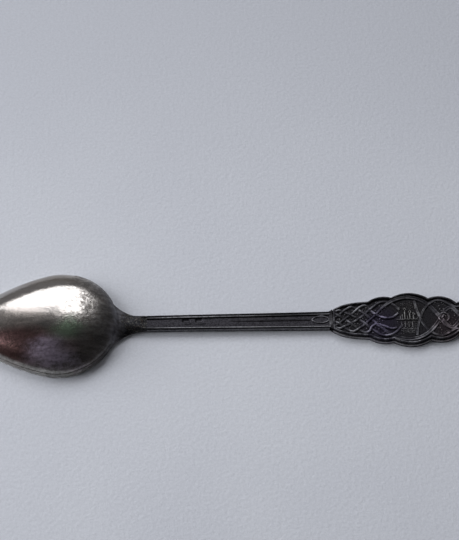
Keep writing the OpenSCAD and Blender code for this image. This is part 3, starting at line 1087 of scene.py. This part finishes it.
def bowl_material():
    """Worn silvery metal, polished on the crown of the back, clouded with brown and grey tarnish."""
    g = Graph("worn_silver")
    coarse = g.noise(0.16, 5, 0.6, 0.4)
    fine = g.noise(1.1, 5, 0.65, 0.3)
    tiny = g.noise(4.5, 3, 0.6)
    wobble = g.swing(coarse, 1.5)
    wobble = g.plus(wobble, g.swing(fine, 0.6))
    streak = g.noise(0.5, 4, 0.6, 0.2, (0.35, 1.5, 1.0))

    colour = g.blend(g.fade(coarse, 0.35, 0.7), (0.42, 0.395, 0.365, 1), (0.36, 0.335, 0.31, 1))
    rough = g.level(g.fade(coarse, 0.35, 0.7), 0.08, 0.13)

    def stain(mask, tint, gloss):
        nonlocal colour, rough
        colour = g.blend(mask, colour, tint)
        rough = g.level(mask, rough, gloss)

    # the near side is duller
    low_side = g.plus(g.y, g.times(wobble, 2.0))
    stain(g.fade(low_side, -1.0, -4.0), (0.22, 0.205, 0.19, 1), 0.2)
    for dx, y, half_x, half_y, soft, tint, gloss, strength in BOWL_SPOTS:
        mask = g.patch(BOWL_X + dx, y, half_x, half_y, soft, wobble)
        stain(g.times(mask, strength), (*tint, 1), gloss)
    # brown film along the far edge and under the polished crown
    film = g.fade(g.plus(g.y, g.times(wobble, 2.5)), 9.5, 11.5)
    stain(g.times(film, 0.5), (0.30, 0.26, 0.21, 1), 0.22)
    # grey bloom towards the neck, darker the nearer
    toward = g.plus(g.minus(g.x, BOWL_X), g.times(wobble, 4.0))
    mottle = g.fade(g.plus(fine, g.times(tiny, 0.4)), 0.55, 0.85, 0.35, 1.0)
    stain(g.times(g.fade(toward, 3.5, 7.5), mottle), (0.125, 0.115, 0.108, 1), 0.32)
    stain(g.times(g.fade(toward, 7.5, 12.5), 0.85), (0.085, 0.08, 0.08, 1), 0.4)
    stain(g.fade(toward, 12.0, 15.5), (0.115, 0.112, 0.124, 1), 0.42)
    stain(g.fade(toward, 15.5, 17.5), (0.019, 0.0185, 0.021, 1), 0.5)
    # tarnish freckles
    crown = g.times(g.fade(low_side, -2.0, 1.0), g.fade(toward, 3.0, 0.0))
    dulled = g.level(crown, 1.0, 0.0)
    freckles = g.times(g.fade(fine, 0.54, 0.68), g.level(crown, 0.55, 0.06))
    stain(freckles, (0.13, 0.105, 0.085, 1), 0.36)
    specks = g.times(g.fade(tiny, 0.55, 0.66), g.fade(toward, 5.0, 12.0))
    stain(g.times(specks, 0.7), (0.24, 0.235, 0.2, 1), 0.4)
    # the clean, pale flank above the rim
    edge_z = g.plus(g.z, g.times(wobble, 0.9))
    edge_z = g.plus(edge_z, g.fade(toward, -2.0, 9.0, 0.0, 2.0))
    flank = g.times(g.fade(edge_z, 3.7, 2.8), g.fade(toward, 13.0, 8.0))
    stain(g.times(flank, 0.8), (0.37, 0.36, 0.33, 1), 0.28)
    # painted light: the rim's foot, below about 0.75 mm, is made pale so it shows no dark line beside its
    # contact shade
    stain(g.fade(g.z, 0.75, 0.45), (0.6, 0.58, 0.55, 1), 0.4)
    grime = g.times(g.fade(fine, 0.36, 0.62, 1.12, 0.85), g.fade(tiny, 0.36, 0.64, 1.12, 0.84))
    grime = g.times(grime, g.fade(streak, 0.35, 0.65, 1.3, 0.75))
    colour = g.scaled(colour, g.level(dulled, 1.0, grime))
    rough = g.plus(rough, g.swing(streak, 0.08))

    dent = g.bump(coarse, 0.4, 0.2)
    normal = g.bump(fine, 0.05, 0.35, dent)
    scratch = g.noise(2.2, 2, 0.5, 0.0, (0.12, 2.4, 1.0))
    normal = g.bump(scratch, 0.02, 0.25, normal)
    return g.finish(colour, rough, normal)


def dark_metal(name, ground, crest, wear_and_light_mask, gloss, grain, tints=(), rubbed=0.1):
    """Oxidised metal: black in its crevices, rubbed lighter on its high places, tinted here and there. The
    crevice black is oxide and also painted shade, darker wherever the table or a neighbouring part closes
    over the surface; the mask of lighter places carries painted light and shade for some materials.
    """
    g = Graph(name)
    cloud = g.noise(0.45, 4, 0.6, 0.3)
    fine = g.noise(2.6, 4, 0.65)
    wear = g.plus(cloud, g.swing(fine, 0.7))
    # the mask lightens rubbed high places and, for some materials, places of painted light; painted shade
    # dims parts of it
    wear_and_painted_light = g.times(wear_and_light_mask(g), g.fade(wear, 0.4, 0.6, rubbed, 1.0))
    open_up = g.openness(0.5)
    wear_and_painted_light = g.times(wear_and_painted_light, g.fade(open_up, 0.4, 0.85))
    colour = g.blend(wear_and_painted_light, ground, crest)
    for x, y, half, tint in tints:
        mask = g.patch(x, y, half, half, 0.6, g.minus(cloud, 0.5))
        colour = g.blend(mask, colour, g.vector("MULTIPLY", colour, tint))
    # darker where the surface is closed in within half a millimetre: oxide in crevices, and painted shade
    # where the table or a neighbouring part closes over it; the noise adds grime
    oxide_grime_and_shade = g.times(g.fade(open_up, 0.35, 0.85, 0.2, 1.0), g.fade(fine, 0.4, 0.65, 1.25, 0.55))
    colour = g.scaled(colour, oxide_grime_and_shade)
    rough = g.plus(g.level(wear_and_painted_light, gloss + 0.1, gloss),
                   g.swing(fine, 0.2))
    normal = g.bump(fine, 0.05 * grain, 0.6)
    normal = g.bump(g.noise(7.0, 2, 0.5), 0.015 * grain, 0.6, normal)
    # oxide stays dark even at grazing angles
    g.shader.inputs["Specular Tint"].default_value = (0.15, 0.15, 0.15, 1)
    return g.finish(colour, rough, normal)


SOOT = (0.022, 0.021, 0.023, 1)
FINIAL_TINTS = ((INNER_X - 0.8, -1.5, 4.2, (0.98, 0.9, 1.22)), (MEDAL_X, 2.0, 3.6, (1.04, 1.04, 0.98)),
                (END_LOBE_X - 5.5, -2.5, 3.6, (1.25, 1.08, 1.08)))


def stem_material():
    top_fall = stem_top(STEM_X0) - stem_top(STEM_X1)

    def wear_and_painted_light_places(g):
        # painted light: the wall on the side towards the camera (-Y) takes the lighter rubbed colour,
        # standing in for the reflection that side shows
        near_side = g.times(g.fade(g.y, -1.2, -1.6), g.fade(g.z, 1.75, 1.6))
        sunk = g.times(g.minus(g.x, STEM_X0), top_fall / (STEM_X1 - STEM_X0))
        crest = g.fade(g.plus(g.z, sunk), stem_top(STEM_X0) - 0.07, stem_top(STEM_X0) - 0.02)
        crest = g.times(crest, g.fade(g.x, STEM_X0, STEM_X0 + 7, 0.35, 1.0))
        # painted shade: the far rail's crest (+Y) is darker than the near one
        crest = g.times(crest, g.fade(g.y, -0.5, 0.5, 1.0, 0.6))
        return g.math("MAXIMUM", crest, near_side)

    return dark_metal("rubbed_stem_metal", (0.012, 0.012, 0.013, 1), (0.2, 0.197, 0.205, 1),
                      wear_and_painted_light_places, 0.34, 1.0, rubbed=0.65)


def channel_material():
    """The bar between the rails: dark in its channel, with painted light on its low wall on the side
    towards the camera.
    """
    return dark_metal("channel_metal", (0.042, 0.04, 0.045, 1), (0.3, 0.295, 0.305, 1),
                      lambda g: g.times(g.fade(g.z, 1.6, 1.45), g.fade(g.y, 0.5, -0.5)),
                      0.42, 1.6, rubbed=0.65)


def relief_material():
    """Strands rubbed on their tops, with painted shade dimming those along the far edge."""
    def crests_with_far_shade(g):
        # painted shade: strand tops beyond 3 mm on the far side (+Y) are darker
        return g.times(g.fade(g.z, PLATE_TOP + 0.1, PLATE_TOP + 0.29),
                      g.fade(g.y, 3.0, 5.6, 1.0, 0.4))

    return dark_metal("rubbed_relief_metal", (0.024, 0.023, 0.026, 1), (0.128, 0.126, 0.134, 1),
                      crests_with_far_shade, 0.32, 1.0, FINIAL_TINTS, rubbed=0.05)


def pebble_material():
    """The low relief between the strands, rubbed on its tops."""
    return dark_metal("low_relief_metal", SOOT, (0.155, 0.152, 0.155, 1),
                      lambda g: g.fade(g.z, PLATE_TOP + 0.03, PLATE_TOP + 0.14), 0.34, 1.0, FINIAL_TINTS,
                      rubbed=0.55)


def front_material():
    return dark_metal("front_relief_metal", (0.05, 0.048, 0.052, 1), (0.2, 0.195, 0.205, 1),
                      lambda g: g.fade(g.z, PLATE_LOW - 0.02, PLATE_LOW - 0.3), 0.34, 1.0)


def recess_material():
    return dark_metal("blackened_recess_metal", (0.02, 0.019, 0.021, 1), (0.045, 0.044, 0.048, 1),
                      lambda g: g.fade(g.noise(0.4, 3), 0.4, 0.8), 0.42, 1.6, FINIAL_TINTS)


def collar_material():
    """Black like the ground, rubbed on a pad in the middle."""
    return dark_metal("collar_metal", SOOT, (0.13, 0.127, 0.132, 1),
                      lambda g: g.fade(g.math("ABSOLUTE", g.y), 1.9, 1.2), 0.36, 1.0)


def plate_material():
    """Black between the knotwork, grey below the plate's step: partly wear, partly a painted highlight
    along the stepped edge.
    """
    return dark_metal("finial_plate_metal", (0.02, 0.019, 0.021, 1), (0.36, 0.35, 0.355, 1),
                      lambda g: g.fade(g.z, LEDGE_Z + 0.12, LEDGE_Z + 0.05), 0.42, 1.6, FINIAL_TINTS,
                      rubbed=0.6)


def floor_material():
    """Pale laminate with a fine orange-peel finish."""
    g = Graph("pale_laminate")
    cloud = g.noise(0.018, 3, 0.5)
    peel = g.noise(0.9, 3, 0.6)
    colour = g.blend(g.fade(cloud, 0.3, 0.7), tone(220, 222, 228), tone(226, 228, 233))
    # painted shade: the table is painted darker further from the camera (+Y)
    colour = g.blend(g.fade(g.y, -20.0, 130.0), colour, tone(196, 198, 204))
    grain = g.noise(1.5, 2, 0.6)
    colour = g.scaled(colour, g.fade(grain, 0.3, 0.7, 0.965, 1.035))
    # a few grains of dust
    dust = g.times(g.fade(g.cells(0.035), 0.016, 0.01), g.fade(g.noise(0.03, 1), 0.48, 0.5))
    colour = g.blend(g.times(dust, 0.5), colour, tone(120, 118, 118))
    normal = g.bump(peel, 0.16, 0.6)
    g.shader.inputs["Specular IOR Level"].default_value = 0.3
    return g.finish(colour, 0.5, normal, metallic=0.0)


# ---------------------------------------------------------------- floor, room and light
# the room's light by height, as (place on the ramp, colour)
ROOM_HORIZON = (0.38, (0.25, 0.25, 0.264, 1))
ROOM_OVERHEAD = (0.46, (0.105, 0.106, 0.112, 1))
BEHIND_TABLE = (0.46, 0.48, 0.53, 1)
CAMERA_SIDE_DIM = 0.55
DAYLIGHT = (0.96, 0.98, 1.03)
# name: centre, width and height in metres, heading in degrees, radiance
WINDOWS = {
    "far_window": ((0.03, 0.6, 0.68), 0.38, 0.74, 0, 3.5),
    "far_window_low_part": ((-0.255, 0.6, 0.59), 0.19, 0.56, 0, 3.5),
    "left_window": ((-0.75, 0.15, 0.46), 0.8, 0.72, 90, 4.1),
}


def build_floor():
    """The table top: a large plane at the spoon's resting level."""
    reach = 2.5
    points = [(-reach, -reach, 0), (reach, -reach, 0), (reach, reach, 0), (-reach, reach, 0)]
    mesh = bpy.data.meshes.new("table_top")
    mesh.from_pydata(points, [], [(0, 1, 2, 3)])
    mesh.materials.append(floor_material())
    floor = bpy.data.objects.new("table_top", mesh)
    bpy.context.scene.collection.objects.link(floor)


def build_world():
    """A dim room: darker overhead than at the horizon, pale where the camera sees past the table."""
    world = bpy.data.worlds.new("room")
    bpy.context.scene.world = world
    world.use_nodes = True
    tree = world.node_tree
    tree.nodes.clear()
    coords = add_node(tree, "TexCoord")
    split = add_node(tree, "SeparateXYZ", {0: coords.outputs["Generated"]})
    ramp = add_node(tree, "ValToRGB", {0: split.outputs["Z"]})
    stops = ramp.color_ramp.elements
    stops[0].position, stops[0].color = ROOM_HORIZON
    stops[1].position, stops[1].color = ROOM_OVERHEAD
    path = add_node(tree, "LightPath")
    choose = add_node(tree, "Mix", data_type="RGBA", inputs={
        "Factor": path.outputs["Is Camera Ray"], 6: ramp.outputs[0], 7: BEHIND_TABLE})
    side = add_node(tree, "MapRange", {
        "Value": split.outputs["Y"], "From Min": -0.6, "From Max": 0.5, "To Min": CAMERA_SIDE_DIM})
    background = add_node(tree, "Background", {"Color": choose.outputs[2], "Strength": side.outputs[0]})
    output = add_node(tree, "OutputWorld")
    tree.links.new(background.outputs[0], output.inputs[0])


def build_window(name, centre, wide, high, turn, radiance):
    """One big soft upright window; turn is its heading, 0 facing the camera's side, 90 facing +X."""
    light = bpy.data.lights.new(name, "AREA")
    light.shape = "RECTANGLE"
    light.size = wide
    light.size_y = high
    light.energy = radiance * math.pi * wide * high
    light.color = DAYLIGHT
    lamp = bpy.data.objects.new(name, light)
    lamp.location = centre
    lamp.rotation_euler = (math.radians(-90), 0, math.radians(turn))
    lamp.visible_camera = False
    bpy.context.scene.collection.objects.link(lamp)


# ---------------------------------------------------------------- camera
CAMERA_PITCH = 58.5
CAMERA_TURN = 1.2
CAMERA_AWAY = 459.5
CAMERA_LENS = 113.3
CAMERA_AIM = (1.3, 16.95, 0.0)


def build_camera():
    camera = bpy.data.cameras.new("camera")
    camera.lens = CAMERA_LENS
    camera.sensor_width = 36.0
    camera.clip_start = 0.01
    camera.clip_end = 20.0
    body = bpy.data.objects.new("camera", camera)
    pitch, turn = math.radians(CAMERA_PITCH), math.radians(CAMERA_TURN)
    ahead = Vector((math.sin(turn) * math.cos(pitch), math.cos(turn) * math.cos(pitch), -math.sin(pitch)))
    body.rotation_mode = "QUATERNION"
    body.rotation_quaternion = ahead.to_track_quat("-Z", "Y")
    body.location = (Vector(CAMERA_AIM) - ahead * CAMERA_AWAY) * MM
    bpy.context.scene.collection.objects.link(body)
    bpy.context.scene.camera = body


# ---------------------------------------------------------------- the spoon
def build_spoon():
    bowl, stem, relief = bowl_material(), stem_material(), relief_material()
    recess, front = recess_material(), front_material()
    collar, plate, pebble = collar_material(), plate_material(), pebble_material()
    build_bowl(bowl)
    build_neck(bowl)
    build_stem_core(channel_material())
    build_stem_rails("back_rails", "stem_back_rails", True, stem)
    build_stem_rails("front_rails", "stem_front_rails", False, stem)
    build_ridge(recess)
    build_almond(relief)
    build_collar(collar)
    build_plate(plate)
    build_border("back_rim", "back_border", PLATE_TOP, FINIAL_T, LEDGE_W, relief)
    build_border("front_rim", "front_border", PLATE_LOW, 0.0, 0.0, front)
    build_knotwork(relief, front)
    build_scene_relief(pebble)
    build_pebbles(pebble)
    build_front_faces(front)


build_spoon()
build_floor()
build_world()
for window_name, window in WINDOWS.items():
    build_window(window_name, *window)
build_camera()
bpy.context.scene.view_settings.view_transform = "Standard"
